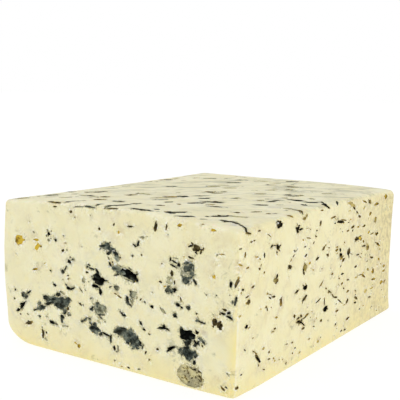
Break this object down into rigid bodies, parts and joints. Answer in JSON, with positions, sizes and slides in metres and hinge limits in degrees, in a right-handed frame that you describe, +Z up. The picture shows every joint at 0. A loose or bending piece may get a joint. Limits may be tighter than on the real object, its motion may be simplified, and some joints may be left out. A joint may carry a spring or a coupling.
{
  "type": "blue cheese block",
  "caption": "Rectangular cut block of blue-veined cheese with ragged mould-lined holes on its cut faces and one rounded lower side.",
  "frame": {"origin": "middle of the base, where the block rests on a surface", "axes": "+Z up, +Y along the longest side from the front cut face to the back, +X across to the right cut face"},
  "size_m": [0.1148, 0.1506, 0.0628],
  "materials": {
    "cheese": "soft moist cream-yellow cheese paste with slate grey-green mould veins"
  },
  "bodies": {
    "root": {"cheese_block": "cheese"}
  },
  "joints": []
}
